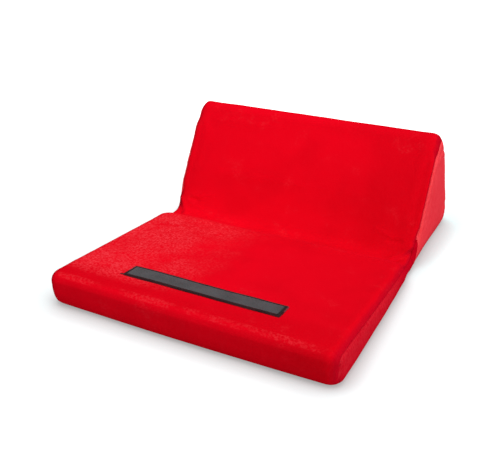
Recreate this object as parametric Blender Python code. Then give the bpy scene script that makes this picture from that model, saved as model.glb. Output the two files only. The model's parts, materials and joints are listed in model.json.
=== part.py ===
"""Reading pillow: a foam pad and a triangular foam wedge in one sewn velour cover.

Metres, +Z up. The origin is at the centre of the footprint, on the surface that carries the
pillow. The reader sits at -Y, the pad lies in front and the wedge rises towards +Y.
"""

import math

import bmesh
import bpy
from mathutils import Matrix, Vector

# Driving dimensions of the pillow
PILLOW_WIDTH = 0.320
PAD_LENGTH = 0.2244
PAD_FRONT_HEIGHT = 0.040
PAD_BACK_HEIGHT = 0.022
WEDGE_SIDE = 0.175
CREASE_GAP = 0.011
CREASE_DIP = 0.007
CREASE_TUCK = 0.0015

# Roundings of the outer surface
PAD_CORNER_RADIUS = 0.014
PAD_ROLL_RADIUS = 0.0125
PAD_BASE_RADIUS = 0.009
WEDGE_EDGE_RADIUS = 0.0125
WEDGE_END_RADIUS = 0.0045
CREASE_END_RADIUS = 0.003

# Cover fabric, its seams and the fit of what it holds
COVER_THICKNESS = 0.0018
SEAM_TURN = 0.0012
SEAM_GAP = 0.0003
FOAM_CLEARANCE = 0.0003
TAPE_CLEARANCE = 0.0003
THREAD_CLEARANCE = 0.0003

# Fastening tape sewn to the pad: a woven margin round a raised loop pile
TAPE_LENGTH = 0.176
TAPE_WIDTH = 0.024
TAPE_CENTRE_FROM_FRONT = 0.0457
TAPE_CORNER_RADIUS = 0.003
TAPE_MARGIN = 0.0038
TAPE_BASE_THICKNESS = 0.0010
TAPE_PILE_HEIGHT = 0.0008
TAPE_SOFT_EDGE = 0.0003

# Stitching that holds the tape
STITCH_LENGTH = 0.0034
STITCH_FROM_EDGE = 0.0019
STITCH_RISE = 0.0003
THREAD_RADIUS = 0.00035

# Fineness of the rounded edges
ROLL_SEGMENTS = 6
WEDGE_SEGMENTS = 8
SMALL_SEGMENTS = 3

# Worked out from the sizes above
WEDGE_ANGLE = math.radians(60)
EQUILATERAL_RISE = math.tan(WEDGE_ANGLE)
WEDGE_REACH_LOSS = (EQUILATERAL_RISE - 1.0) * WEDGE_EDGE_RADIUS
PILLOW_LENGTH = PAD_LENGTH + CREASE_GAP + WEDGE_SIDE - WEDGE_REACH_LOSS
PAD_FRONT_Y = -PILLOW_LENGTH / 2
PAD_BACK_Y = PAD_FRONT_Y + PAD_LENGTH
WEDGE_FRONT_Y = PAD_BACK_Y + CREASE_GAP
PAD_SLOPE = math.atan2(PAD_FRONT_HEIGHT - PAD_BACK_HEIGHT, PAD_LENGTH)
CREASE_HEIGHT = PAD_BACK_HEIGHT - CREASE_DIP
SEAM_INSET = COVER_THICKNESS + SEAM_TURN
SEAM_X = PILLOW_WIDTH / 2 - SEAM_INSET
FOAM_INSET = COVER_THICKNESS + FOAM_CLEARANCE
REACH = 2 * max(PILLOW_WIDTH, PILLOW_LENGTH, WEDGE_SIDE)
SNAP = 1e-6


def clear_scene():
    for obj in list(bpy.data.objects):
        bpy.data.objects.remove(obj, do_unlink=True)


def new_collection(name):
    collection = bpy.data.collections.new(name)
    bpy.context.scene.collection.children.link(collection)
    return collection


def new_material(name, colour, roughness, metallic=0.0):
    material = bpy.data.materials.new(name)
    material.use_nodes = True
    shader = material.node_tree.nodes["Principled BSDF"]
    shader.inputs["Base Color"].default_value = (*colour, 1.0)
    shader.inputs["Roughness"].default_value = roughness
    shader.inputs["Metallic"].default_value = metallic
    material.diffuse_color = (*colour, 1.0)
    return material


def new_object(name, bm, collection, material=None):
    """Turn a bmesh into an object of the collection, shaded smooth between its sharp edges."""
    mesh = bpy.data.meshes.new(name)
    bmesh.ops.recalc_face_normals(bm, faces=bm.faces)
    bm.to_mesh(mesh)
    bm.free()
    mesh.shade_smooth()
    mesh.set_sharp_from_angle(angle=math.radians(35))
    obj = bpy.data.objects.new(name, mesh)
    collection.objects.link(obj)
    if material:
        mesh.materials.append(material)
    return obj


def make_guide(obj):
    obj.hide_render = True
    obj.display_type = "WIRE"
    return obj


def add_boolean(obj, operation, other):
    modifier = obj.modifiers.new(operation.title() + " " + other.name, "BOOLEAN")
    modifier.operation = operation
    modifier.solver = "EXACT"
    modifier.object = other


def box_bmesh(low, high):
    bm = bmesh.new()
    bmesh.ops.create_cube(bm, size=1.0)
    size = Vector(high) - Vector(low)
    centre = (Vector(high) + Vector(low)) / 2
    bmesh.ops.scale(bm, vec=size, verts=bm.verts)
    bmesh.ops.translate(bm, vec=centre, verts=bm.verts)
    return bm


def round_edges(bm, chosen, radius, segments, corner=math.pi / 2):
    """Round the edges whose two ends both pass the test.

    corner is the angle between the two faces at the edge. It gives the distance from the edge to
    where its rounding starts, and the bevel profile that makes a true arc of the radius there.
    """
    edges = [edge for edge in bm.edges if chosen(edge.verts[0].co, edge.verts[1].co)]
    offset = max(radius, SNAP) / math.tan(corner / 2)
    arc_profile = (1 - 0.5 / (1 + math.sin(corner / 2))) ** 2
    bmesh.ops.bevel(bm, geom=edges, offset=offset, offset_type="OFFSET", segments=segments,
                    profile=arc_profile, affect="EDGES", clamp_overlap=True)


def pad_top_height(y):
    """Height of the pad's sloping top over the surface below, at a given y."""
    return PAD_FRONT_HEIGHT - (y - PAD_FRONT_Y) * math.tan(PAD_SLOPE)


def pad_bmesh(inset):
    """The pad's rounded slab, drawn in by inset on every side.

    Its corners are round in plan in front only: at the crease the cover runs straight on.
    """
    bm = bmesh.new()
    bmesh.ops.create_cube(bm, size=1.0)
    top_drop = inset / math.cos(PAD_SLOPE)
    for vert in bm.verts:
        vert.co.x *= PILLOW_WIDTH - 2 * inset
        vert.co.y = PAD_BACK_Y - inset if vert.co.y > 0 else PAD_FRONT_Y + inset
        vert.co.z = pad_top_height(vert.co.y) - top_drop if vert.co.z > 0 else inset

    def upright_in_front(a, b):
        upright = abs(a.x - b.x) < SNAP and abs(a.y - b.y) < SNAP
        return upright and a.y < PAD_BACK_Y - PAD_CORNER_RADIUS

    def on_top(a, b):
        return all(abs(p.z + top_drop - pad_top_height(p.y)) < SNAP for p in (a, b))

    def on_base(a, b):
        return all(abs(p.z - inset) < SNAP for p in (a, b))

    round_edges(bm, upright_in_front, PAD_CORNER_RADIUS - inset, ROLL_SEGMENTS)
    round_edges(bm, on_top, PAD_ROLL_RADIUS - inset, ROLL_SEGMENTS)
    round_edges(bm, on_base, PAD_BASE_RADIUS - inset, SMALL_SEGMENTS)
    return bm


def wedge_bmesh(inset):
    """The equilateral wedge with its ridge along X, drawn in by inset on every side."""
    circle = WEDGE_SIDE / EQUILATERAL_RISE - 2 * inset
    half_width = PILLOW_WIDTH / 2 - inset
    bm = bmesh.new()
    bmesh.ops.create_cone(bm, segments=3, radius1=circle, radius2=circle,
                          depth=2 * half_width, cap_ends=True)
    to_ridge = Matrix(((0, 0, 1), (1, 0, 0), (0, 1, 0)))
    centre = Vector((0, WEDGE_FRONT_Y + WEDGE_SIDE / 2, WEDGE_SIDE / (2 * EQUILATERAL_RISE)))
    bmesh.ops.transform(bm, matrix=to_ridge.to_4x4(), verts=bm.verts)
    bmesh.ops.translate(bm, vec=centre, verts=bm.verts)

    def along_ridge(a, b):
        return abs(a.x - b.x) > half_width

    def on_end(a, b):
        return abs(a.x - b.x) < SNAP

    round_edges(bm, along_ridge, WEDGE_EDGE_RADIUS - inset, WEDGE_SEGMENTS, WEDGE_ANGLE)
    round_edges(bm, on_end, WEDGE_END_RADIUS - inset, SMALL_SEGMENTS)
    return bm


def crease_bmesh(inset):
    """The low bridge of cover between pad and wedge, whose ends tuck in past the side seams."""
    half_width = SEAM_X - CREASE_TUCK - inset
    front = PAD_BACK_Y - 2 * PAD_CORNER_RADIUS
    back = WEDGE_FRONT_Y + 2 * EQUILATERAL_RISE * WEDGE_EDGE_RADIUS
    top = CREASE_HEIGHT - inset
    bm = box_bmesh((-half_width, front, inset), (half_width, back, top))

    def on_long_top(a, b):
        return min(a.z, b.z) > top - SNAP and abs(a.x - b.x) < SNAP

    round_edges(bm, on_long_top, CREASE_END_RADIUS - inset, SMALL_SEGMENTS)
    return bm


def filled_pillow(name, inset, guides):
    """Pad, crease and wedge as one guide body, for the outer or inner face of the cover."""
    body = make_guide(new_object(name, pad_bmesh(inset), guides))
    crease = make_guide(new_object(name + "_crease", crease_bmesh(inset), guides))
    wedge = make_guide(new_object(name + "_wedge", wedge_bmesh(inset), guides))
    add_boolean(body, "UNION", crease)
    add_boolean(body, "UNION", wedge)
    return body


def cover_panel(name, low, high, outer, inner, part, material):
    """The stretch of the cover's skin inside a box, from its outer to its inner face."""
    panel = new_object(name, box_bmesh(low, high), part, material)
    add_boolean(panel, "INTERSECT", outer)
    add_boolean(panel, "DIFFERENCE", inner)
    return panel


def make_cover(part, guides, material):
    """Six panels: one strip over the whole profile, the base, and two sides each."""
    outer = filled_pillow("cover_outer_face", 0.0, guides)
    inner = filled_pillow("cover_inner_face", COVER_THICKNESS, guides)
    above_base = SEAM_INSET + SEAM_GAP
    beside_top = SEAM_X + SEAM_GAP
    crease_middle = (PAD_BACK_Y + WEDGE_FRONT_Y) / 2
    cover_panel("cover_base_panel", (-REACH, -REACH, -REACH), (REACH, REACH, SEAM_INSET),
                outer, inner, part, material)
    cover_panel("cover_top_panel", (-SEAM_X, -REACH, above_base), (SEAM_X, REACH, REACH),
                outer, inner, part, material)
    cover_panel("pad_side_panel_right", (beside_top, -REACH, above_base),
                (REACH, crease_middle, REACH), outer, inner, part, material)
    cover_panel("pad_side_panel_left", (-REACH, -REACH, above_base),
                (-beside_top, crease_middle, REACH), outer, inner, part, material)
    cover_panel("wedge_side_panel_right", (beside_top, crease_middle, above_base),
                (REACH, REACH, REACH), outer, inner, part, material)
    cover_panel("wedge_side_panel_left", (-REACH, crease_middle, above_base),
                (-beside_top, REACH, REACH), outer, inner, part, material)


def make_foam(part, material):
    new_object("pad_foam", pad_bmesh(FOAM_INSET), part, material)
    new_object("wedge_foam", wedge_bmesh(FOAM_INSET), part, material)


def pad_top_frame(part):
    """Empty on the pad's top plane, under the middle of the tape, Y running down the slope."""
    frame = bpy.data.objects.new("pad_top_frame", None)
    part.objects.link(frame)
    centre_y = PAD_FRONT_Y + TAPE_CENTRE_FROM_FRONT
    frame.location = (0, centre_y, pad_top_height(centre_y))
    frame.rotation_euler = (-PAD_SLOPE, 0, 0)
    return frame


def plate_bmesh(length, width, corner_radius, bottom, top):
    """Flat plate with round corners and a softened upper edge."""
    bm = box_bmesh((-length / 2, -width / 2, bottom), (length / 2, width / 2, top))

    def upright(a, b):
        return abs(a.z - b.z) > SNAP

    def on_top(a, b):
        return min(a.z, b.z) > top - SNAP

    round_edges(bm, upright, corner_radius, SMALL_SEGMENTS)
    round_edges(bm, on_top, TAPE_SOFT_EDGE, 2)
    return bm


def make_tape(part, guides, frame, material):
    base_top = TAPE_CLEARANCE + TAPE_BASE_THICKNESS
    pile_top = base_top + TAPE_PILE_HEIGHT
    base = plate_bmesh(TAPE_LENGTH, TAPE_WIDTH, TAPE_CORNER_RADIUS, TAPE_CLEARANCE, base_top)
    tape = new_object("fastening_tape", base, part, material)
    pile_mesh = plate_bmesh(TAPE_LENGTH - 2 * TAPE_MARGIN, TAPE_WIDTH - 2 * TAPE_MARGIN,
                            TAPE_CORNER_RADIUS / 2, base_top - TAPE_BASE_THICKNESS / 2, pile_top)
    pile = make_guide(new_object("tape_pile", pile_mesh, guides))
    tape.parent = frame
    pile.parent = frame
    add_boolean(tape, "UNION", pile)


def round_rectangle_point(length, width, radius, distance):
    """Point at a distance along the outline of a rectangle with round corners."""
    straight = (length - 2 * radius, width - 2 * radius)
    arc = radius * math.pi / 2
    position = Vector((-straight[0] / 2, -width / 2))
    heading = 0.0
    for side in range(4):
        run = straight[side % 2]
        forward = Vector((math.cos(heading), math.sin(heading)))
        if distance <= run:
            return position + forward * distance
        distance -= run
        position += forward * run
        inward = Vector((-forward.y, forward.x))
        if distance <= arc or side == 3:
            turn = distance / radius
            return position + inward * radius * (1 - math.cos(turn)) + forward * radius * math.sin(turn)
        distance -= arc
        position += (inward + forward) * radius
        heading += math.pi / 2
    return position


def make_stitching(part, frame, material):
    """One thread run all round the tape's margin, rising over each stitch between its holes."""
    length = TAPE_LENGTH - 2 * STITCH_FROM_EDGE
    width = TAPE_WIDTH - 2 * STITCH_FROM_EDGE
    radius = TAPE_CORNER_RADIUS / 2
    total = 2 * (length + width) - (8 - 2 * math.pi) * radius
    stitches = round(total / STITCH_LENGTH)
    low = TAPE_CLEARANCE + TAPE_BASE_THICKNESS + THREAD_CLEARANCE + THREAD_RADIUS
    curve = bpy.data.curves.new("tape_stitching", "CURVE")
    curve.dimensions = "3D"
    curve.bevel_depth = THREAD_RADIUS
    curve.bevel_resolution = 1
    curve.materials.append(material)
    spline = curve.splines.new("POLY")
    spline.points.add(2 * stitches - 1)
    spline.use_cyclic_u = True
    for index, point in enumerate(spline.points):
        spot = round_rectangle_point(length, width, radius, total * index / (2 * stitches))
        point.co = (spot.x, spot.y, low + STITCH_RISE * (index % 2), 1.0)
    thread = bpy.data.objects.new("tape_stitching", curve)
    part.objects.link(thread)
    thread.parent = frame


def main():
    clear_scene()
    part = new_collection("reading_pillow")
    guides = new_collection("cutters")
    velour = new_material("red_velour", (0.62, 0.004, 0.012), 0.85)
    foam = new_material("white_foam", (0.86, 0.83, 0.74), 0.9)
    tape = new_material("grey_tape", (0.075, 0.085, 0.10), 0.7)
    thread = new_material("black_thread", (0.012, 0.010, 0.010), 0.6)
    make_cover(part, guides, velour)
    make_foam(part, foam)
    frame = pad_top_frame(part)
    make_tape(part, guides, frame, tape)
    make_stitching(part, frame, thread)


main()
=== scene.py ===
"""Looks of the reading pillow: a velour cover drawn over foam, a sewn tape and its thread.

Metres, +Z up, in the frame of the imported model. The reader sits at -Y.
"""
import json
import math

import bmesh
import bpy
import numpy as np
from mathutils import Matrix, Vector, noise
from mathutils.bvhtree import BVHTree
from mathutils.kdtree import KDTree

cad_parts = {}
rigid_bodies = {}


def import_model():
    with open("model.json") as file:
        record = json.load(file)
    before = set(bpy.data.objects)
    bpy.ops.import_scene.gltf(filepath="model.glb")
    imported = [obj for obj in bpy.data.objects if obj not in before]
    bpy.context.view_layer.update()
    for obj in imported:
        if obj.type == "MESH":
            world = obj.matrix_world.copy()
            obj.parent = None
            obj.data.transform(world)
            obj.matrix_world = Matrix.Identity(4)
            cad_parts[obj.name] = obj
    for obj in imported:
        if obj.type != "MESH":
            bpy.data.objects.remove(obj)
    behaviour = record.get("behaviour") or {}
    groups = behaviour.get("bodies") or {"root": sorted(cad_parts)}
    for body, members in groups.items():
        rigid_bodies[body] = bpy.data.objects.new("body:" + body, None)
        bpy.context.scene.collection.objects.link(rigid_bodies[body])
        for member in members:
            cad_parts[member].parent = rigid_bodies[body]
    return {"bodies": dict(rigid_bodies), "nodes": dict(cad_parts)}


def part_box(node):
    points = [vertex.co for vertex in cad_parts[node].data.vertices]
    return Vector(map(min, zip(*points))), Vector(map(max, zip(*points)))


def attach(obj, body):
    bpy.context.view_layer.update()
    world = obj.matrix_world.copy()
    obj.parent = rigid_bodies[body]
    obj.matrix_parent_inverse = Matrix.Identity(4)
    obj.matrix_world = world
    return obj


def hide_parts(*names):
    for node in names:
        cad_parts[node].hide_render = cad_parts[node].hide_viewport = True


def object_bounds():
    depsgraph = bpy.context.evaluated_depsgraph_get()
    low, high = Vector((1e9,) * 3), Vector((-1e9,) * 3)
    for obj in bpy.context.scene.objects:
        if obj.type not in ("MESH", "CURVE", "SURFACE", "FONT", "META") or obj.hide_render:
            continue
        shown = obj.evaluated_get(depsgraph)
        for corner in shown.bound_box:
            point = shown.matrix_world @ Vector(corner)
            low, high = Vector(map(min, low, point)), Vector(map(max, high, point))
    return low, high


# Camera: place, direction and lens of the photograph
CAMERA_PLACE = (0.3075, -0.6641, 0.3913)
CAMERA_YAW = 0.4661
CAMERA_PITCH = 0.4562
CAMERA_ROLL = 0.0046
CAMERA_LENS = 50.47
SENSOR_WIDTH = 36.0

# Cover: fineness of the mesh, fabric and seams
FINE_VOXEL = 0.0022
SIM_VOXEL = 0.005
FABRIC = 0.0016
SEAM_SNAP = 0.0007
PAD_SEAM_DEPTH = 0.0002
WEDGE_SEAM_DEPTH = 0.0008
SEAM_REACH = 0.0018

# Cloth simulation of the cover over its foam
PRESSURE = 0.4
SIM_FRAMES = 20
FOAM_SKIN = 0.0008
SWELL_CAP = 0.005
NEIGHBOURS = 8
CREASE_HELD = 0.004
LEVEL_ENOUGH = 0.9
STILL_BELOW = 0.004
FREE_ABOVE = 0.018
LOWEST_SHARE = 0.7

# Bridge of cloth at the crease: inset of its ends, how far it reaches into the pad and the wedge,
# and the rounding along its lower edges
CREASE_INSET = 0.0006
CREASE_FROM_PAD = 0.008
CREASE_INTO_WEDGE = 0.010
BASE_RADIUS = 0.009
BASE_STEPS = 4

# Bulge of the cloth low at the bridge's two ends
BULGE = 0.0026
BULGE_PLACE = 0.044
BULGE_REACH = 0.009
BULGE_HEIGHT = 0.014

# Smoothing round the crease: its reach, the share and number of its rounds, and where it starts
# and is full above the floor
CREASE_SOFT = 0.030
CREASE_SHARE = 0.5
CREASE_ROUNDS = 60
SOFT_FROM = 0.002
SOFT_FULL = 0.010

# Bow of the pad's sides in plan, and how far the faces draw in towards the floor. The draw of the
# wedge's ends eases by DRAW_EASE between EASE_START and EASE_END.
SIDE_BOW = 0.0010
BOW_REACH = 0.035
FRONT_DRAW = 0.0030
FRONT_BOW = 0.0022
WEDGE_DRAW = 0.0032
DRAW_EASE = 0.65
EASE_START = 0.08
EASE_END = 0.2
DRAW_HEIGHT = 0.022
LEFT_DRAW = 0.0020

# Where the wedge ends' lighter velour, painted sheen, starts behind the crease, painted shade
# ahead of it, and how far its edge leans back
END_FROM = 0.0518
END_LEAN = 0.152

# Softer ends of the ridge: length and depth of the drop, and how much of its arc is followed
RIDGE_END = 0.013
RIDGE_DEPTH = 0.030
RIDGE_ARC = 0.93

# Uneven lie of the cloth: height and length of its waves
WAVES = ((0.0006, 0.070), (0.0003, 0.025))
EVEN_BELOW = 0.005

# Drag folds at the crease's right end: two ends, height and width
FOLDS = (
    ((0.141, 0.027, 0.016), (0.154, 0.0475, 0.021), -0.0020, 0.0027),
    ((0.136, 0.034, 0.016), (0.155, 0.0520, 0.027), 0.0017, 0.0028),
    ((0.128, 0.0510, 0.028), (0.140, 0.0515, 0.029), -0.0014, 0.0024),
    ((0.118, 0.0455, 0.019), (0.136, 0.0475, 0.022), 0.0009, 0.0018),
    ((0.110, 0.0560, 0.037), (0.128, 0.0530, 0.032), 0.0006, 0.0018),
)

# Fastening tape: its outline, the widths of its margin and of the looks along it, and its heights
TAPE_CORNER = 0.002
TAPE_MARGIN = 0.0029
TAPE_RIM = 0.0010
TAPE_SEWN = 0.0034
TAPE_BASE = 0.0006
TAPE_PILE = 0.0005
TAPE_LIFT = 0.00025
TAPE_EDGE = 0.0004
EDGE_LOW = 0.45
PILE_SLOPE = 0.0004
DENT = 0.0002
DENT_REACH = 0.0005
FUZZ = 0.00008
FUZZ_SCALE = 900
TAPE_STEP = 0.0010
TAPE_EDGE_LINES = (0.0, 0.00012, 0.0004, 0.0008, 0.0012, 0.0016, 0.0019, 0.0022, 0.0025,
                   0.0027, 0.0029, 0.0031, 0.0035)

# Thread round the tape
STITCH_LENGTH = 0.0034
STITCH_FROM_EDGE = 0.0021
STITCH_RISE = 0.00035
STITCH_SINK = 0.0004
STITCH_SLANT = 0.00012
THREAD_RADIUS = 0.00045
THREAD_SIDES = 8
POINTS_PER_STITCH = 8
DOUBLE_ROW_INSET = 0.0010
TAIL_POINTS = 7
TAIL_STEP = (-0.0010, -0.00025, 0)

# Foam inside the cover
FOAM_INSET = 0.0026
FOAM_VOXEL = 0.006

TOP_PANEL = "cover_top_panel"
BASE_PANEL = "cover_base_panel"
PAD_SIDES = ("pad_side_panel_left", "pad_side_panel_right")
WEDGE_SIDES = ("wedge_side_panel_left", "wedge_side_panel_right")
COVER_NODES = (TOP_PANEL, BASE_PANEL) + PAD_SIDES + WEDGE_SIDES
TAPE = "fastening_tape"
THREAD = "tape_stitching"
FOAMS = ("pad_foam", "wedge_foam")

# Looks of the velour: its colour in three lies, the lighter share all over, and its sheen. The pad
# sides' velour is a darker copy of the top's, painted shade; the wedge ends' is a lighter, pinker
# copy, painted sheen.
VELOURS = {
    "velour_top": ((0.70, 0.0002, 0.007), (0.91, 0.0004, 0.011), (0.99, 0.052, 0.070), 0.05, 0.20),
    "velour_side_painted_shade": ((0.52, 0.0010, 0.010), (0.56, 0.0012, 0.012), (0.66, 0.022, 0.036), 0.8, 0.20),
    "velour_end_painted_sheen": ((0.82, 0.032, 0.042), (0.95, 0.060, 0.072), (0.97, 0.105, 0.12), 0.6, 0.80),
}
SHEEN_ROUGHNESS = 0.4
SHEEN_TINT = (1.0, 0.015, 0.06, 1)

# Painted shade: darker colour of the pile low on the pad's sides, near the crease and over the
# rolls at the pad's two ends
PAINTED_SHADE_PILE = (0.50, 0.0006, 0.010)

# Where the velour's colour changes. Painted light makes it lighter towards the left, together with
# the nap, and higher up; it is darker on the top before the tape; painted shade darkens the pad's
# sides low down and near the crease, and the rolls at the pad's ends; streaks and clouds of lighter
# pile lie over it. Each range gives the values from which and at which a change is complete, and
# some the two results.
LEFTWARD = (0.16, -0.10)
LEFTWARD_SHARE = 0.65
BROAD_RANGE = (0.35, 0.65)
PAINTED_LIGHT_HIGH_UP = (0.06, 0.13, 0.0, 0.35)
BEFORE_TAPE = (-0.150, -0.185, 0.0, -0.55)
BEFORE_TAPE_FACING = (0.80, 0.97)
STREAK_RANGE = (0.3, 0.75)
SIDE_HIGH = (0.004, 0.018)
SIDE_AHEAD = (0.02, -0.06)
SIDE_BEFORE_CREASE = (0.045, 0.005)
TURNED_FACING = (0.15, 0.70)
CLOUD_PATCHES = (0.54, 0.70)
CLOUD_GRAIN = (0.45, 0.60)
CLOUD_SHARE = 0.16

# Nap brushed the light way on the left part of the pad's top
NAP_WANDER = 0.22
NAP_LEFT = (0.02, -0.15)
NAP_PATCHES = (0.30, 0.62, 0.40, 1.0)
NAP_GRAIN = (0.43, 0.60, 0.08, 1.0)
NAP_FRONT = (-0.186, -0.165)
NAP_BACK = (0.03, 0.0)
NAP_FACING = (0.75, 0.95)

# Painted highlight on the roll over the pad's front, where the pile also opens
ROLL_DIRECTION = (0, -0.50, 0.866)
ROLL_FACING = (0.92, 0.985)
ROLL_PLACE = (-0.178, -0.188)
ROLL_GRAIN = (0.42, 0.60)
ROLL_PATCHES = (0.3, 0.6)
ROLL_SHARE = 0.36

# Looks of the tape from its edge inwards: two colours, scale of the grain, and gloss
TAPE_LOOKS = (
    ("tape_edge", (0.16, 0.024, 0.034), (0.26, 0.050, 0.066), 1600, 0.0),
    ("tape_margin", (0.028, 0.008, 0.010), (0.070, 0.020, 0.023), 1600, 0.0),
    ("tape_pile", (0.034, 0.033, 0.036), (0.066, 0.065, 0.072), 1100, 0.15),
)

# Studio: level of the sky and the lamps, and how the floor shows white. Beside the wedge the
# floor's shade is offset against the red light from the cover, and to its left it is lifted.
SKY_LEVEL = 0.33
KEY_PLACE = (0.0, -0.5, 1.75)
KEY_SIZE = 1.5
KEY_LEVEL = 0.60
FILL_PLACE = (1.6, -0.2, 0.38)
FILL_SIZE = 0.9
FILL_LEVEL = 0.50
FLOOR_TONE = 0.48
FLOOR_SHADE = (0.76, 0.84, 0.85)
FLOOR_SHADE_BESIDE = (0.70, 0.965, 0.97)
FLOOR_LIFT = 0.38
LEFT_LIFT = 0.15
SHADE_REACH = 0.030
FAR_LIFT = 0.70
FAR_START = 0.27
FAR_END = 0.60
BESIDE_X = (0.13, 0.18)
BESIDE_Y = (0.0, 0.08)
LEFT_X = (-0.12, -0.20)
LEFT_Y = (-0.06, 0.04)
FLOOR_SIZE = 12

# Limits below which a length, a slide along the surface or a distance from a cut counts as none
LEAST_LENGTH = 1e-9
LEAST_SLIDE = 0.2
CUT_NEAR = 1e-6


# Small helpers

def smoothstep(low, high, value):
    t = np.clip((value - low) / (high - low), 0.0, 1.0)
    return t * t * (3 - 2 * t)


def node_points(*names):
    """Vertices of CAD nodes, in the row frame."""
    points = []
    for name in names:
        obj = frame["nodes"][name]
        points += [obj.matrix_world @ vert.co for vert in obj.data.vertices]
    return points


def read_vectors(mesh, what):
    values = np.empty(len(mesh.vertices) * 3)
    mesh.vertices.foreach_get(what, values)
    return values.reshape(-1, 3)


def write_coords(mesh, coords):
    mesh.vertices.foreach_set("co", coords.ravel())
    mesh.update()


def link_object(name, mesh):
    obj = bpy.data.objects.new(name, mesh)
    bpy.context.scene.collection.objects.link(obj)
    return obj


def mesh_object(name, points, faces):
    mesh = bpy.data.meshes.new(name)
    mesh.from_pydata([tuple(point) for point in points], [], faces)
    mesh.shade_smooth()
    return link_object(name, mesh)


def evaluated_mesh(obj):
    """A plain mesh of what the object's modifiers make."""
    depsgraph = bpy.context.evaluated_depsgraph_get()
    return bpy.data.meshes.new_from_object(obj.evaluated_get(depsgraph), depsgraph=depsgraph)


def add_hull(bm, points):
    """Add the convex hull of the points to the bmesh, and nothing else of them."""
    verts = [bm.verts.new(point) for point in points]
    made = bmesh.ops.convex_hull(bm, input=verts)
    spare = {item for item in made["geom_interior"] + made["geom_unused"]
             if isinstance(item, bmesh.types.BMVert)}
    bmesh.ops.delete(bm, geom=list(spare), context="VERTS")


def one_skin(bm, voxel, name):
    """One closed, even skin round all the overlapping parts of a bmesh, which is freed."""
    mesh = bpy.data.meshes.new(name)
    bm.to_mesh(mesh)
    bm.free()
    obj = link_object(name, mesh)
    remesh = obj.modifiers.new("Remesh", "REMESH")
    remesh.mode = "VOXEL"
    remesh.voxel_size = voxel
    skin = evaluated_mesh(obj)
    bpy.data.objects.remove(obj)
    return skin


def stands_for(piece, node):
    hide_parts(node)
    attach(piece, body)


# Shape of the cover

def pillow_parts():
    """Pad, wedge and the low bridge at the crease as overlapping convex parts."""
    bm = bmesh.new()
    cover = node_points(*COVER_NODES)
    add_hull(bm, [p for p in cover if p.y < pad_back])
    add_hull(bm, [p for p in cover if p.y > wedge_front])
    bridge = bmesh.ops.create_cube(bm, size=1.0)["verts"]
    ends = [vert for vert in bridge if vert.co.z < 0]
    low = Vector((CREASE_INSET - half_width, pad_back - CREASE_FROM_PAD, 0))
    high = Vector((half_width - CREASE_INSET, wedge_front + CREASE_INTO_WEDGE, crease_top))
    bmesh.ops.scale(bm, vec=high - low, verts=bridge)
    bmesh.ops.translate(bm, vec=(high + low) / 2, verts=bridge)
    lower = [edge for edge in bm.edges if edge.verts[0] in ends and edge.verts[1] in ends
             and edge.verts[0].co.x == edge.verts[1].co.x]
    bmesh.ops.bevel(bm, geom=lower, offset=BASE_RADIUS, segments=BASE_STEPS, profile=0.5,
                    affect="EDGES")
    return bm


def simulated_offsets():
    """Where a coarse skin of cloth starts, and how far it moves over the foam under pressure."""
    skin = one_skin(pillow_parts(), SIM_VOXEL, "coarse_skin")
    before = read_vectors(skin, "co")
    normals = read_vectors(skin, "normal")
    obj = link_object("cloth", skin)
    in_crease = (np.abs(before[:, 1] - crease_y) < CREASE_HELD) & (normals[:, 2] > LEVEL_ENOUGH)
    held = obj.vertex_groups.new(name="held")
    held.add([int(index) for index in np.flatnonzero(in_crease)], 1.0, "REPLACE")
    cloth = obj.modifiers.new("Cloth", "CLOTH")
    cloth.settings.use_pressure = True
    cloth.settings.uniform_pressure_force = PRESSURE
    cloth.settings.effector_weights.gravity = 0
    cloth.settings.vertex_group_mass = held.name
    cloth.collision_settings.distance_min = FOAM_SKIN
    foams = [frame["nodes"][name] for name in FOAMS]
    for foam in foams:
        foam.modifiers.new("Collision", "COLLISION")
        foam.collision.thickness_outer = FOAM_SKIN
    scene = bpy.context.scene
    for step in range(1, SIM_FRAMES + 1):
        scene.frame_set(step)
    after = read_vectors(evaluated_mesh(obj), "co")
    scene.frame_set(1)
    bpy.data.objects.remove(obj)
    for foam in foams:
        foam.modifiers.clear()
    offsets = after - before
    length = np.maximum(np.linalg.norm(offsets, axis=1, keepdims=True), LEAST_LENGTH)
    return before, offsets * np.minimum(1.0, SWELL_CAP / length)


def carry_over(points, offsets, targets):
    """Offsets at the targets, as a weighted mean of those of the nearest points."""
    tree = KDTree(len(points))
    for index, point in enumerate(points):
        tree.insert(point, index)
    tree.balance()
    carried = np.empty_like(targets)
    for row, target in enumerate(targets):
        near = tree.find_n(target, NEIGHBOURS)
        weight = np.array([1.0 / (distance ** 2 + SIM_VOXEL ** 2) for _, _, distance in near])
        index = [number for _, number, _ in near]
        carried[row] = (offsets[index] * weight[:, None]).sum(axis=0) / weight.sum()
    return carried


def smoothed(coords, edges, share, rounds):
    """Coordinates evened out round by round, each point by its share of its neighbours' mean."""
    first, second = edges.T
    count = len(coords)
    degree = np.bincount(edges.ravel(), minlength=count)[:, None]
    for _ in range(rounds):
        near = [np.bincount(first, coords[second, axis], count)
                + np.bincount(second, coords[first, axis], count) for axis in range(3)]
        coords = coords + share[:, None] * (np.stack(near, axis=1) / degree - coords)
    return coords


def side_bow(coords):
    """Outward bow of the pad's sides, most at their middle."""
    x, y = coords[:, 0], coords[:, 1]
    middle = (front_y + pad_back) / 2
    along = np.clip(1 - ((y - middle) / (pad_back - middle)) ** 2, 0, 1)
    outer = smoothstep(half_width - BOW_REACH, half_width, np.abs(x))
    bow = np.zeros_like(coords)
    bow[:, 0] = SIDE_BOW * along * np.sign(x) * outer
    return bow


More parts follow.
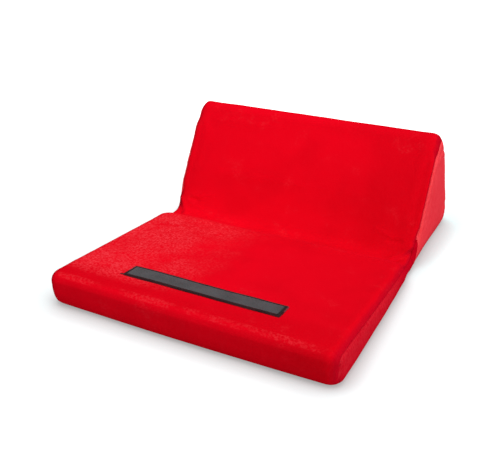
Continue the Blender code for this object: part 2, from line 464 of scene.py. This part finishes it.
def floor_draw(coords):
    """Inward draw of the front, less at its middle, and of the wedge's ends towards the floor."""
    x, y, z = coords.T
    low = smoothstep(DRAW_HEIGHT, 0, z)
    outer = smoothstep(half_width / 2, half_width, np.abs(x))
    eased = 1 - DRAW_EASE * smoothstep(EASE_START, EASE_END, y)
    wedge = smoothstep(pad_back, wedge_front + BOW_REACH / 2, y) * eased
    draw = np.zeros_like(coords)
    draw[:, 0] = -np.sign(x) * low * outer * WEDGE_DRAW * wedge
    across = np.clip(1 - (x / half_width) ** 2, 0, 1)
    ahead = smoothstep(front_y + BOW_REACH, front_y, y)
    draw[:, 1] = (FRONT_DRAW - FRONT_BOW * across) * low * ahead
    return draw


def crease_bulge(coords):
    """Outward bulge of the cloth low at the crease's two ends."""
    x, y, z = coords.T
    along = np.exp(-((y - BULGE_PLACE) / BULGE_REACH) ** 2)
    outer = smoothstep(half_width - BOW_REACH / 2, half_width - BASE_RADIUS, np.abs(x))
    bulge = np.zeros_like(coords)
    bulge[:, 0] = BULGE * np.sign(x) * along * outer * smoothstep(BULGE_HEIGHT, BULGE_HEIGHT / 3, z)
    return bulge


def left_draw(coords):
    """Inward draw of the wedge's left end, over its whole height."""
    x, y = coords[:, 0], coords[:, 1]
    behind = smoothstep(crease_y, wedge_front + BOW_REACH, y)
    draw = np.zeros_like(coords)
    draw[:, 0] = LEFT_DRAW * smoothstep(0, -half_width, x) * behind
    return draw


def ridge_ends(coords):
    """Drop of the ridge's two ends along an arc."""
    along = np.clip((np.abs(coords[:, 0]) - (half_width - RIDGE_END)) / RIDGE_END, 0, RIDGE_ARC)
    high = smoothstep(top_z - RIDGE_DEPTH, top_z - RIDGE_DEPTH / 3, coords[:, 2])
    drop = np.zeros_like(coords)
    drop[:, 2] = -RIDGE_END * (1 - np.sqrt(1 - along ** 2)) * high
    return drop


def fold_height(coords):
    """Drag folds: low ridges and furrows along short lines, mirrored to the hidden left end."""
    height = np.zeros(len(coords))
    for start, end, rise, width in FOLDS:
        for side in (1, -1):
            a = np.array(start) * (side, 1, 1)
            b = np.array(end) * (side, 1, 1)
            along = np.clip((coords - a) @ (b - a) / ((b - a) @ (b - a)), 0, 1)
            away = np.linalg.norm(coords - a - along[:, None] * (b - a), axis=1)
            height += rise * np.exp(-(away / width) ** 2)
    return height


def wave_height(coords):
    """Low unevenness of stuffed cloth, the same each run."""
    height = np.zeros(len(coords))
    for amount, length in WAVES:
        height += amount * np.array([noise.noise(Vector(point) / length) for point in coords])
    return height


def cut_along(bm, axis, place):
    """Cut the mesh along a plane, after points near it have slid along the surface onto it."""
    for vert in bm.verts:
        normal = vert.normal
        away = place - vert.co[axis]
        slide = 1 - normal[axis] ** 2
        if abs(away) < SEAM_SNAP and slide > LEAST_SLIDE:
            step = -normal * normal[axis]
            step[axis] += 1
            vert.co += step * (away / slide)
            vert.co[axis] = place
    direction = [0.0, 0.0, 0.0]
    direction[axis] = 1.0
    point = [value * place for value in direction]
    geometry = bm.verts[:] + bm.edges[:] + bm.faces[:]
    bmesh.ops.bisect_plane(bm, geom=geometry, plane_co=point, plane_no=direction, dist=CUT_NEAR)


def seam_groove(coords):
    """Depth of the seams' grooves: hidden in the pile on the pad, plain on the wedge."""
    side = np.abs(np.abs(coords[:, 0]) - seam_x)
    base = np.abs(coords[:, 2] - seam_z)
    away = np.where(coords[:, 2] > seam_z, np.minimum(side, base), base)
    wedge = smoothstep(crease_y, wedge_front, coords[:, 1])
    depth = PAD_SEAM_DEPTH + (WEDGE_SEAM_DEPTH - PAD_SEAM_DEPTH) * wedge
    return depth * np.exp(-(away / SEAM_REACH) ** 2)


def seamed_skin():
    """The even skin of the whole cover, still unfilled, and which panel each face belongs to.

    It is cut along the seams, and along the leaning line where the ends' painted sheen starts.
    """
    skin = one_skin(pillow_parts(), FINE_VOXEL, "cover_skin")
    bm = bmesh.new()
    bm.from_mesh(skin)
    bm.normal_update()
    for axis, place in ((0, -seam_x), (0, seam_x), (2, seam_z), (1, wedge_front)):
        cut_along(bm, axis, place)
    lean = Matrix.Identity(4)
    lean[1][2] = -END_LEAN
    bmesh.ops.transform(bm, matrix=lean, verts=bm.verts)
    cut_along(bm, 1, END_FROM)
    bmesh.ops.transform(bm, matrix=lean.inverted(), verts=bm.verts)
    bm.to_mesh(skin)
    bm.free()
    return skin, [panel_of(face.center) for face in skin.polygons]


def fill_cover(skin):
    """Give the skin the lie of cloth over foam: swell, bow, draws, bulge, folds, waves and seams.
    """
    coords = read_vectors(skin, "co")
    points, offsets = simulated_offsets()
    free = smoothstep(STILL_BELOW, FREE_ABOVE, coords[:, 2])
    lowest = LOWEST_SHARE * coords[:, 2]
    coords += free[:, None] * carry_over(points, offsets, coords)
    coords[:, 2] = np.maximum(coords[:, 2], lowest)
    groove = seam_groove(coords)
    for shape in (side_bow, floor_draw, crease_bulge, left_draw, ridge_ends):
        coords += shape(coords)
    edges = np.array([edge.vertices[:] for edge in skin.edges])
    near = smoothstep(CREASE_SOFT, CREASE_SOFT / 2, np.abs(coords[:, 1] - crease_y))
    share = CREASE_SHARE * near * smoothstep(SOFT_FROM, SOFT_FULL, coords[:, 2])
    coords = smoothed(coords, edges, share, CREASE_ROUNDS)
    write_coords(skin, coords)
    height = wave_height(coords) + fold_height(coords) - groove
    height *= smoothstep(0, EVEN_BELOW, coords[:, 2])
    coords += height[:, None] * read_vectors(skin, "normal")
    coords[:, 2] = np.maximum(coords[:, 2], 0.0)
    write_coords(skin, coords)


def panel_of(point):
    """Name of the panel that a point of the cut skin belongs to."""
    if point[2] < seam_z:
        return BASE_PANEL
    if abs(point[0]) < seam_x:
        return TOP_PANEL
    sides = PAD_SIDES if point[1] < wedge_front else WEDGE_SIDES
    return sides[1] if point[0] > 0 else sides[0]


def thick_panel(name, faces, coords, normals):
    """Closed piece of fabric: the faces, the same faces a fabric's thickness in, and a rim."""
    used = sorted({index for face in faces for index in face})
    place = {index: number for number, index in enumerate(used)}
    count = len(used)
    outer = coords[used]
    points = np.vstack((outer, outer - FABRIC * normals[used]))
    front = [[place[index] for index in face] for face in faces]
    back = [[index + count for index in reversed(face)] for face in front]
    steps = {(a, b) for face in front for a, b in zip(face, face[1:] + face[:1])}
    rim = [[b, a, a + count, b + count] for a, b in steps if (b, a) not in steps]
    return mesh_object(name, points, front + back + rim)


def make_cover(materials):
    """Make the six panels in their materials, and return a tree of the whole outer face.

    Ahead of the leaning line, a wedge's end takes the pad side's velour, painted shade.
    """
    skin, names = seamed_skin()
    fill_cover(skin)
    coords = read_vectors(skin, "co")
    normals = read_vectors(skin, "normal")
    faces = {name: [] for name in COVER_NODES}
    for name, face in zip(names, skin.polygons):
        faces[name].append(list(face.vertices))
    for name in COVER_NODES:
        panel = thick_panel(name + "_velour", faces[name], coords, normals)
        panel.data.materials.append(materials[name])
        # Painted shade: ahead of the leaning line the wedge's end takes the pad side's darker
        # velour
        if name in WEDGE_SIDES:
            panel.data.materials.append(materials[PAD_SIDES[0]])
            for polygon in panel.data.polygons:
                along = polygon.center.y - END_LEAN * polygon.center.z
                polygon.material_index = int(along < END_FROM)
        stands_for(panel, name)
    polygons = [list(face.vertices) for face in skin.polygons]
    return BVHTree.FromPolygons([tuple(co) for co in coords], polygons)


def make_foam(name, material):
    """The foam core, a little clear of the cover that is drawn over it."""
    bm = bmesh.new()
    add_hull(bm, node_points(name))
    mesh = one_skin(bm, FOAM_VOXEL, name + "_block")
    coords = read_vectors(mesh, "co") - FOAM_INSET * read_vectors(mesh, "normal")
    for shape in (floor_draw, left_draw, ridge_ends):
        coords += shape(coords)
    write_coords(mesh, coords)
    mesh.shade_smooth()
    mesh.materials.append(material)
    block = link_object(name + "_block", mesh)
    stands_for(block, name)


# Tape and thread

def on_pad(u, v, height):
    """Place at a height over the pad's cover: u across it, v to its back from the tape's middle."""
    x, y = u, tape_middle.y + v
    hit = cover_tree.ray_cast(Vector((x, y, 1)), Vector((0, 0, -1)))[0]
    return hit + pad_normal * height


def inside_tape(u, v):
    """Distance of a point inside the tape's round-cornered outline from that outline."""
    a = abs(u) - (tape_half_length - TAPE_CORNER)
    b = abs(v) - (tape_half_width - TAPE_CORNER)
    outside = math.hypot(max(a, 0), max(b, 0))
    return TAPE_CORNER - outside - min(max(a, b), 0)


def graded_lines(half):
    """Grid lines from -half to half, closer together along the sewn margin."""
    edge = [half - step for step in TAPE_EDGE_LINES]
    inner = edge[-1]
    count = max(2, round(2 * inner / TAPE_STEP))
    middle = [-inner + 2 * inner * step / count for step in range(1, count)]
    return [-value for value in edge] + middle + edge[::-1]


def round_corner(u, v):
    """Draw the corner of a square grid in to a round one."""
    a = abs(u) - (tape_half_length - TAPE_CORNER)
    b = abs(v) - (tape_half_width - TAPE_CORNER)
    if a <= 0 or b <= 0:
        return u, v
    shrink = max(a, b) / math.hypot(a, b)
    return (math.copysign(abs(u) - a + a * shrink, u), math.copysign(abs(v) - b + b * shrink, v))


def tape_height(u, v):
    """Height of the tape's face over the pad: round edge, stitched dent and raised, fuzzy pile."""
    inside = inside_tape(u, v)
    edge = math.sqrt(max(0.0, 1 - max(0.0, 1 - inside / TAPE_EDGE) ** 2))
    pile = float(smoothstep(TAPE_MARGIN - PILE_SLOPE, TAPE_MARGIN + PILE_SLOPE, inside))
    dent = DENT * math.exp(-((inside - STITCH_FROM_EDGE) / DENT_REACH) ** 2)
    fuzz = FUZZ * pile * noise.noise(Vector((u, v, 0)) * FUZZ_SCALE)
    base = TAPE_BASE * (EDGE_LOW + (1 - EDGE_LOW) * edge)
    return TAPE_LIFT + base + TAPE_PILE * pile - dent + fuzz


def make_tape(materials):
    """Woven tape with a raised loop pile, following the pad under it."""
    us = graded_lines(tape_half_length)
    vs = graded_lines(tape_half_width)
    top, low = [], []
    for v in vs:
        for u in us:
            ru, rv = round_corner(u, v)
            top.append(on_pad(ru, rv, tape_height(ru, rv)))
            low.append(on_pad(ru, rv, TAPE_LIFT))
    columns, rows = len(us), len(vs)
    count = columns * rows
    starts = [j * columns + i for j in range(rows - 1) for i in range(columns - 1)]
    front = [[start, start + 1, start + columns + 1, start + columns] for start in starts]
    back = [[index + count for index in reversed(face)] for face in front]
    steps = {(a, b) for face in front for a, b in zip(face, face[1:] + face[:1])}
    rim = [[b, a, a + count, b + count] for a, b in steps if (b, a) not in steps]
    tape = mesh_object("tape_woven", top + low, front + back + rim)
    for material in materials:
        tape.data.materials.append(material)
    for index, face in enumerate(front):
        column, row = face[0] % columns, face[0] // columns
        u = (us[column] + us[column + 1]) / 2
        v = (vs[row] + vs[row + 1]) / 2
        inside = inside_tape(u, v)
        # Painted shade: on the front half the rim takes the dark margin's colour, as it faces away
        # from the light; at the back and ends it keeps the edge colour
        look = (v < 0 or inside > TAPE_RIM) + (inside > TAPE_SEWN)
        tape.data.polygons[index].material_index = look
    stands_for(tape, TAPE)


def path_point(distance, inset):
    """Point and heading at a distance round the tape, at an inset, from its front left corner."""
    corner = TAPE_CORNER / 2
    runs = (2 * (tape_half_length - inset - corner), 2 * (tape_half_width - inset - corner))
    position = Vector((-(tape_half_length - inset - corner), -(tape_half_width - inset)))
    heading = 0.0
    for side in range(4):
        run = runs[side % 2]
        forward = Vector((math.cos(heading), math.sin(heading)))
        if distance <= run:
            return position + forward * distance, forward
        distance -= run
        position = position + forward * run
        left = Vector((-forward.y, forward.x))
        arc = corner * math.pi / 2
        if distance <= arc or side == 3:
            turn = min(distance, arc) / corner
            place = position + left * corner * (1 - math.cos(turn))
            place = place + forward * corner * math.sin(turn)
            return place, forward * math.cos(turn) + left * math.sin(turn)
        distance -= arc
        position = position + (left + forward) * corner
        heading += math.pi / 2


def stitch_points(inset, start, end):
    """Centre line of a row of stitches: each rises between its two needle holes."""
    count = max(1, round((end - start) / STITCH_LENGTH))
    points = []
    for step in range(count * POINTS_PER_STITCH + 1):
        along = start + (end - start) * step / (count * POINTS_PER_STITCH)
        spot, forward = path_point(along, inset)
        phase = (step % POINTS_PER_STITCH) / POINTS_PER_STITCH
        arch = 1 - (2 * phase - 1) ** 6
        slant = STITCH_SLANT * math.sin(2 * math.pi * phase)
        side = Vector((-forward.y, forward.x)) * slant
        height = tape_height(spot.x, spot.y) - STITCH_SINK + (STITCH_SINK + STITCH_RISE) * arch
        points.append(on_pad(spot.x + side.x, spot.y + side.y, height))
    return points


def sweep(points, radius, closed):
    """Tube of a radius round a centre line, closed on itself or with capped ends."""
    count = len(points)
    rings = []
    for index, point in enumerate(points):
        before = points[index - 1] if index > 0 or closed else point
        after = points[(index + 1) % count] if index < count - 1 or closed else point
        forward = (after - before).normalized()
        side = forward.cross(pad_normal).normalized()
        up = side.cross(forward)
        for turn in range(THREAD_SIDES):
            angle = 2 * math.pi * turn / THREAD_SIDES
            rings.append(point + radius * (side * math.cos(angle) + up * math.sin(angle)))
    faces = []
    for index in range(count if closed else count - 1):
        following = (index + 1) % count
        for turn in range(THREAD_SIDES):
            other = (turn + 1) % THREAD_SIDES
            faces.append([index * THREAD_SIDES + turn, index * THREAD_SIDES + other,
                          following * THREAD_SIDES + other, following * THREAD_SIDES + turn])
    if not closed:
        faces.append([turn for turn in reversed(range(THREAD_SIDES))])
        faces.append([(count - 1) * THREAD_SIDES + turn for turn in range(THREAD_SIDES)])
    return rings, faces


def make_thread(material):
    """The row all round, a second row across the right end, and the loose tail at the left."""
    corner = TAPE_CORNER / 2
    run = 2 * (tape_half_length - STITCH_FROM_EDGE - corner)
    rise = 2 * (tape_half_width - STITCH_FROM_EDGE - corner)
    total = 2 * (run + rise) + 2 * math.pi * corner
    row = stitch_points(STITCH_FROM_EDGE, 0, total)[:-1]
    second = STITCH_FROM_EDGE + DOUBLE_ROW_INSET
    second_run = 2 * (tape_half_length - second - corner)
    second_rise = 2 * (tape_half_width - second - corner)
    double = stitch_points(second, second_run, second_run + second_rise + math.pi * corner)
    tail = [row[0] + Vector(TAIL_STEP) * step for step in range(TAIL_POINTS)]
    tail = [on_pad(p.x, p.y - tape_middle.y, TAPE_LIFT + THREAD_RADIUS) for p in tail]
    points, faces = [], []
    for line, closed in ((row, True), (double, False), (tail, False)):
        rings, sides = sweep(line, THREAD_RADIUS, closed)
        faces += [[index + len(points) for index in side] for side in sides]
        points += rings
    thread = mesh_object("tape_thread", points, faces)
    thread.data.materials.append(material)
    stands_for(thread, THREAD)


# Materials

def new_material(name, roughness, specular):
    """A material with its node tree, the colour and height still to be linked."""
    material = bpy.data.materials.new(name)
    material.use_nodes = True
    shader = material.node_tree.nodes["Principled BSDF"]
    shader.inputs["Roughness"].default_value = roughness
    shader.inputs["Specular IOR Level"].default_value = specular
    return material


def noise_node(tree, scale, detail, rough=0.5, vector=None):
    node = tree.nodes.new("ShaderNodeTexNoise")
    node.inputs["Scale"].default_value = scale
    node.inputs["Detail"].default_value = detail
    node.inputs["Roughness"].default_value = rough
    if vector is None:
        vector = tree.nodes.new("ShaderNodeTexCoord").outputs["Object"]
    tree.links.new(vector, node.inputs["Vector"])
    return node.outputs["Fac"]


def ranged(tree, value, low, high, to_low=0.0, to_high=1.0):
    node = tree.nodes.new("ShaderNodeMapRange")
    node.interpolation_type = "SMOOTHSTEP"
    node.inputs["From Min"].default_value = low
    node.inputs["From Max"].default_value = high
    node.inputs["To Min"].default_value = to_low
    node.inputs["To Max"].default_value = to_high
    tree.links.new(value, node.inputs["Value"])
    return node.outputs["Result"]


def math_node(tree, operation, first, second):
    node = tree.nodes.new("ShaderNodeMath")
    node.operation = operation
    for socket, value in zip(node.inputs, (first, second)):
        if isinstance(value, (int, float)):
            socket.default_value = value
        else:
            tree.links.new(value, socket)
    return node.outputs["Value"]


def mixed(tree, factor, first, second):
    """Mix of two colours, each given as a triple or a socket."""
    node = tree.nodes.new("ShaderNodeMix")
    node.data_type = "RGBA"
    tree.links.new(factor, node.inputs["Factor"])
    for socket, value in ((node.inputs["A"], first), (node.inputs["B"], second)):
        if isinstance(value, tuple):
            socket.default_value = (*value, 1)
        else:
            tree.links.new(value, socket)
    return node.outputs["Result"]


def bumped(tree, heights):
    """Chain of bumps, each given as a height socket with its strength and distance."""
    normal = None
    for height, strength, distance in heights:
        node = tree.nodes.new("ShaderNodeBump")
        node.inputs["Strength"].default_value = strength
        node.inputs["Distance"].default_value = distance
        tree.links.new(height, node.inputs["Height"])
        if normal is not None:
            tree.links.new(normal, node.inputs["Normal"])
        normal = node.outputs["Normal"]
    return normal


def stretched(tree, factors):
    """Object coordinates scaled by a factor on each axis."""
    node = tree.nodes.new("ShaderNodeVectorMath")
    node.operation = "MULTIPLY"
    tree.links.new(tree.nodes.new("ShaderNodeTexCoord").outputs["Object"], node.inputs[0])
    node.inputs[1].default_value = factors
    return node.outputs["Vector"]


def facing(tree, direction, low, high):
    """How far the surface faces a direction, ranged from 0 at low to 1 at high."""
    node = tree.nodes.new("ShaderNodeVectorMath")
    node.operation = "DOT_PRODUCT"
    tree.links.new(tree.nodes.new("ShaderNodeTexCoord").outputs["Normal"], node.inputs[0])
    node.inputs[1].default_value = direction
    return ranged(tree, node.outputs["Value"], low, high)


def product(tree, *values):
    result = values[0]
    for value in values[1:]:
        result = math_node(tree, "MULTIPLY", result, value)
    return result


def brushed_left(tree, place, broad, patches, grain):
    """Share of nap brushed the light way: specks that crowd on the left part of the pad's top."""
    wander = math_node(tree, "MULTIPLY", math_node(tree, "SUBTRACT", broad, 0.5), NAP_WANDER)
    left = ranged(tree, math_node(tree, "ADD", place["X"], wander), *NAP_LEFT)
    ragged = ranged(tree, patches, *NAP_PATCHES)
    behind_roll = ranged(tree, place["Y"], *NAP_FRONT)
    before_wedge = ranged(tree, place["Y"], *NAP_BACK)
    top = facing(tree, (0, 0, 1), *NAP_FACING)
    crowd = product(tree, left, ragged, behind_roll, before_wedge, top)
    return math_node(tree, "MULTIPLY", crowd, ranged(tree, grain, *NAP_GRAIN))


def roll_painted_highlight(tree, place, patches, grain):
    """Share of painted highlight along the roll over the pad's front, where the pile also opens."""
    on_roll = facing(tree, ROLL_DIRECTION, *ROLL_FACING)
    in_front = ranged(tree, place["Y"], *ROLL_PLACE)
    broken = product(tree, ranged(tree, grain, *ROLL_GRAIN), ranged(tree, patches, *ROLL_PATCHES))
    return product(tree, on_roll, in_front, broken, ROLL_SHARE)


def side_lie_and_painted_shade(tree, place, share, ground):
    """The pad side's lighter share and ground, with painted shade towards floor and crease."""
    high = ranged(tree, place["Z"], *SIDE_HIGH)
    share = product(tree, share, high, ranged(tree, place["Y"], *SIDE_AHEAD))
    # Painted shade: low down and near the crease the side takes the shade colour
    before_crease = ranged(tree, place["Y"], *SIDE_BEFORE_CREASE)
    unshaded = math_node(tree, "MULTIPLY", high, before_crease)
    return share, mixed(tree, unshaded, PAINTED_SHADE_PILE, ground)


def top_lie_highlight_and_shade(tree, place, share, ground, broad, patches, grain):
    """The top panel's lighter share and ground.

    Its left part is brushed the light way, light clouds lie all over it, a painted highlight runs
    along its front roll, where the pile also opens, and painted shade darkens the rolls at its two
    ends.
    """
    # Painted shade over the rolls at the pad's two ends, which face the sides
    shaded_end_rolls = math_node(tree, "ADD", facing(tree, (1, 0, 0), *TURNED_FACING),
                       facing(tree, (-1, 0, 0), *TURNED_FACING))
    ground = mixed(tree, shaded_end_rolls, ground, PAINTED_SHADE_PILE)
    clouds = product(tree, ranged(tree, patches, *CLOUD_PATCHES),
                     ranged(tree, grain, *CLOUD_GRAIN), CLOUD_SHARE)
    for lighter in (brushed_left(tree, place, broad, patches, grain), clouds,
                    roll_painted_highlight(tree, place, patches, grain)):
        share = math_node(tree, "MAXIMUM", share, lighter)
    return share, ground


def velour_material(name, deep, plain, brushed, even_share, sheen):
    """Short pile, darker or lighter where it has been brushed another way, and painted light and
    shade.

    even_share is how much of the lighter pile shows all over. The lighter colour, brushed, is
    brushed nap on the top and painted sheen on the wedge's ends. The top panel and the pad sides
    have further lies, painted highlight and painted shade of their own.
    """
    material = new_material(name, 1.0, 0.0)
    tree = material.node_tree
    shader = tree.nodes["Principled BSDF"]
    fine = noise_node(tree, 900, 2, 0.6)
    clump = noise_node(tree, 300, 3, 0.7)
    grain = noise_node(tree, 400, 4, 0.75)
    patches = noise_node(tree, 42, 3, 0.6)
    broad = noise_node(tree, 14, 2, 0.5)
    streaks = noise_node(tree, 650, 3, 0.65, stretched(tree, (1, 1, 0.3)))
    split = tree.nodes.new("ShaderNodeSeparateXYZ")
    tree.links.new(tree.nodes.new("ShaderNodeTexCoord").outputs["Object"], split.inputs["Vector"])
    place = split.outputs
    # Painted light: the ground is lighter towards the left, together with the nap, and higher up,
    # and darker on the top before the tape; broad noise makes it uneven
    leftward = math_node(tree, "MULTIPLY", ranged(tree, place["X"], *LEFTWARD), LEFTWARD_SHARE)
    broadly = math_node(tree, "MULTIPLY", ranged(tree, broad, *BROAD_RANGE), 1 - LEFTWARD_SHARE)
    before_tape = math_node(tree, "MULTIPLY", ranged(tree, place["Y"], *BEFORE_TAPE),
                            facing(tree, (0, 0, 1), *BEFORE_TAPE_FACING))
    painted_light_and_unevenness = math_node(tree, "ADD", leftward, broadly)
    painted_light_and_unevenness = math_node(tree, "ADD", painted_light_and_unevenness, ranged(tree, place["Z"], *PAINTED_LIGHT_HIGH_UP))
    painted_light_and_unevenness = math_node(tree, "ADD", painted_light_and_unevenness, before_tape)
    ground = mixed(tree, painted_light_and_unevenness, deep, plain)
    share = product(tree, ranged(tree, streaks, *STREAK_RANGE), even_share)
    if name == "velour_side_painted_shade":
        share, ground = side_lie_and_painted_shade(tree, place, share, ground)
    if name == "velour_top":
        share, ground = top_lie_highlight_and_shade(tree, place, share, ground, broad, patches, grain)
    colour = mixed(tree, share, ground, brushed)
    tree.links.new(colour, shader.inputs["Base Color"])
    tree.links.new(bumped(tree, ((clump, 0.12, 0.0010), (fine, 0.25, 0.0003))),
                   shader.inputs["Normal"])
    shader.inputs["Sheen Weight"].default_value = sheen
    shader.inputs["Sheen Roughness"].default_value = SHEEN_ROUGHNESS
    shader.inputs["Sheen Tint"].default_value = SHEEN_TINT
    return material


def foam_material():
    material = new_material("foam", 0.95, 0.1)
    tree = material.node_tree
    shader = tree.nodes["Principled BSDF"]
    pores = noise_node(tree, 900, 2)
    colour = mixed(tree, pores, (0.78, 0.74, 0.62), (0.9, 0.87, 0.78))
    tree.links.new(colour, shader.inputs["Base Color"])
    tree.links.new(bumped(tree, ((pores, 0.5, 0.0006),)), shader.inputs["Normal"])
    return material


def tape_material(name, deep, light, grain_scale, gloss):
    material = new_material(name, 0.75, gloss)
    tree = material.node_tree
    grain = noise_node(tree, grain_scale, 2, 0.6)
    broad = noise_node(tree, 60, 2)
    level = math_node(tree, "ADD", math_node(tree, "MULTIPLY", grain, 0.6),
                      math_node(tree, "MULTIPLY", broad, 0.4))
    colour = mixed(tree, ranged(tree, level, 0.35, 0.65), deep, light)
    shader = tree.nodes["Principled BSDF"]
    tree.links.new(colour, shader.inputs["Base Color"])
    tree.links.new(bumped(tree, ((grain, 0.6, 0.0003),)), shader.inputs["Normal"])
    shader.inputs["Sheen Weight"].default_value = gloss
    return material


def thread_material():
    material = new_material("thread", 0.7, 0.1)
    tree = material.node_tree
    twist = noise_node(tree, 2500, 1)
    colour = mixed(tree, twist, (0.008, 0.006, 0.006), (0.045, 0.036, 0.037))
    tree.links.new(colour, tree.nodes["Principled BSDF"].inputs["Base Color"])
    return material


# Setting

def make_camera():
    data = bpy.data.cameras.new("camera")
    data.lens = CAMERA_LENS
    data.sensor_width = SENSOR_WIDTH
    data.sensor_fit = "HORIZONTAL"
    data.clip_end = 20
    camera = link_object("camera", data)
    turn = Matrix.Rotation(CAMERA_YAW, 4, "Z")
    tilt = Matrix.Rotation(math.pi / 2 - CAMERA_PITCH, 4, "X")
    roll = Matrix.Rotation(CAMERA_ROLL, 4, "Z")
    camera.matrix_world = Matrix.Translation(CAMERA_PLACE) @ turn @ tilt @ roll
    bpy.context.scene.camera = camera


def seen_directly(tree):
    """1 for rays from the camera and for mirror-like and see-through ones, 0 for the others."""
    path = tree.nodes.new("ShaderNodeLightPath")
    seen = math_node(tree, "MAXIMUM", path.outputs["Is Camera Ray"], path.outputs["Is Glossy Ray"])
    return math_node(tree, "MAXIMUM", seen, path.outputs["Is Transmission Ray"])


def make_floor():
    """White floor: lifted to pure white where it is looked at, so that only close shadow shows."""
    bpy.ops.mesh.primitive_plane_add(size=FLOOR_SIZE)
    floor = bpy.context.object
    floor.name = "floor"
    material = new_material("floor", 1.0, 0.0)
    tree = material.node_tree
    plain = tree.nodes["Principled BSDF"]
    plain.inputs["Base Color"].default_value = (FLOOR_TONE, FLOOR_TONE, FLOOR_TONE, 1)
    shadow = tree.nodes.new("ShaderNodeBsdfDiffuse")
    # Painted contact shadow: ambient occlusion darkens the floor's colour close to the pillow,
    # within SHADE_REACH
    painted_contact_shadow = tree.nodes.new("ShaderNodeAmbientOcclusion")
    painted_contact_shadow.inputs["Distance"].default_value = SHADE_REACH
    spot = tree.nodes.new("ShaderNodeTexCoord").outputs["Object"]
    split = tree.nodes.new("ShaderNodeSeparateXYZ")
    tree.links.new(spot, split.inputs["Vector"])
    beside = math_node(tree, "MULTIPLY", ranged(tree, split.outputs["X"], *BESIDE_X),
                       ranged(tree, split.outputs["Y"], *BESIDE_Y))
    tree.links.new(mixed(tree, beside, FLOOR_SHADE, FLOOR_SHADE_BESIDE), painted_contact_shadow.inputs["Color"])
    tree.links.new(painted_contact_shadow.outputs["Color"], shadow.inputs["Color"])
    away = tree.nodes.new("ShaderNodeVectorMath")
    away.operation = "LENGTH"
    tree.links.new(spot, away.inputs[0])
    lift = tree.nodes.new("ShaderNodeEmission")
    level = ranged(tree, away.outputs["Value"], FAR_START, FAR_END,
                   FLOOR_LIFT, FLOOR_LIFT + FAR_LIFT)
    left = math_node(tree, "MULTIPLY", ranged(tree, split.outputs["X"], *LEFT_X, 0.0, LEFT_LIFT),
                     ranged(tree, split.outputs["Y"], *LEFT_Y))
    tree.links.new(math_node(tree, "ADD", level, left), lift.inputs["Strength"])
    seen = tree.nodes.new("ShaderNodeAddShader")
    tree.links.new(shadow.outputs["BSDF"], seen.inputs[0])
    tree.links.new(lift.outputs["Emission"], seen.inputs[1])
    choice = tree.nodes.new("ShaderNodeMixShader")
    tree.links.new(seen_directly(tree), choice.inputs["Fac"])
    tree.links.new(plain.outputs["BSDF"], choice.inputs[1])
    tree.links.new(seen.outputs["Shader"], choice.inputs[2])
    tree.links.new(choice.outputs["Shader"], tree.nodes["Material Output"].inputs["Surface"])
    floor.data.materials.append(material)


def area_light(name, place, size, level):
    """Soft disk aimed at the pillow, which alone would light a face turned to it to the level."""
    data = bpy.data.lights.new(name, "AREA")
    data.shape = "DISK"
    data.size = size
    data.energy = level * (math.pi * Vector(place).length) ** 2
    light = link_object(name, data)
    light.location = place
    light.rotation_euler = (-Vector(place)).to_track_quat("-Z", "Y").to_euler()


def make_light():
    world = bpy.data.worlds.new("studio")
    bpy.context.scene.world = world
    world.use_nodes = True
    tree = world.node_tree
    strength = math_node(tree, "MULTIPLY", seen_directly(tree), 1 - SKY_LEVEL)
    strength = math_node(tree, "ADD", strength, SKY_LEVEL)
    tree.nodes["Background"].inputs["Color"].default_value = (1, 1, 1, 1)
    tree.links.new(strength, tree.nodes["Background"].inputs["Strength"])
    area_light("key", KEY_PLACE, KEY_SIZE, KEY_LEVEL)
    area_light("fill", FILL_PLACE, FILL_SIZE, FILL_LEVEL)
    bpy.context.scene.view_settings.view_transform = "Standard"


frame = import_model()
cad_box = [list(corner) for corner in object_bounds()]
body = list(frame["bodies"])[0]

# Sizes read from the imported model
half_width = cad_box[1][0]
front_y = cad_box[0][1]
top_z = cad_box[1][2]
foam_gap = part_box("pad_foam")[0].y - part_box(TOP_PANEL)[0].y
pad_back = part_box("pad_foam")[1].y + foam_gap
wedge_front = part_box("wedge_foam")[0].y - foam_gap
crease_y = (pad_back + wedge_front) / 2
seam_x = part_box(TOP_PANEL)[1].x
seam_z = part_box(BASE_PANEL)[1].z
top_tree = BVHTree.FromObject(frame["nodes"][TOP_PANEL], bpy.context.evaluated_depsgraph_get())
crease_top = top_tree.ray_cast(Vector((0, crease_y, 1)), Vector((0, 0, -1)))[0].z
tape_low, tape_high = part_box(TAPE)
tape_middle = (tape_low + tape_high) / 2
tape_half_length = (tape_high.x - tape_low.x) / 2
tape_half_width = (tape_high.y - tape_low.y) / 2
pad_normal = top_tree.ray_cast(Vector((0, tape_high.y + 0.02, 1)), Vector((0, 0, -1)))[1]

make_camera()
make_floor()
make_light()
velours = {name: velour_material(name, *look) for name, look in VELOURS.items()}
cover_materials = {name: velours["velour_top"] for name in (TOP_PANEL, BASE_PANEL)}
# The pad sides take the darker copy of the velour, painted shade, and the wedge's ends the lighter,
# pinker copy, painted sheen
cover_materials.update({name: velours["velour_side_painted_shade"] for name in PAD_SIDES})
cover_materials.update({name: velours["velour_end_painted_sheen"] for name in WEDGE_SIDES})
cover_tree = make_cover(cover_materials)
foam = foam_material()
for name in FOAMS:
    make_foam(name, foam)
make_tape([tape_material(*look) for look in TAPE_LOOKS])
make_thread(thread_material())
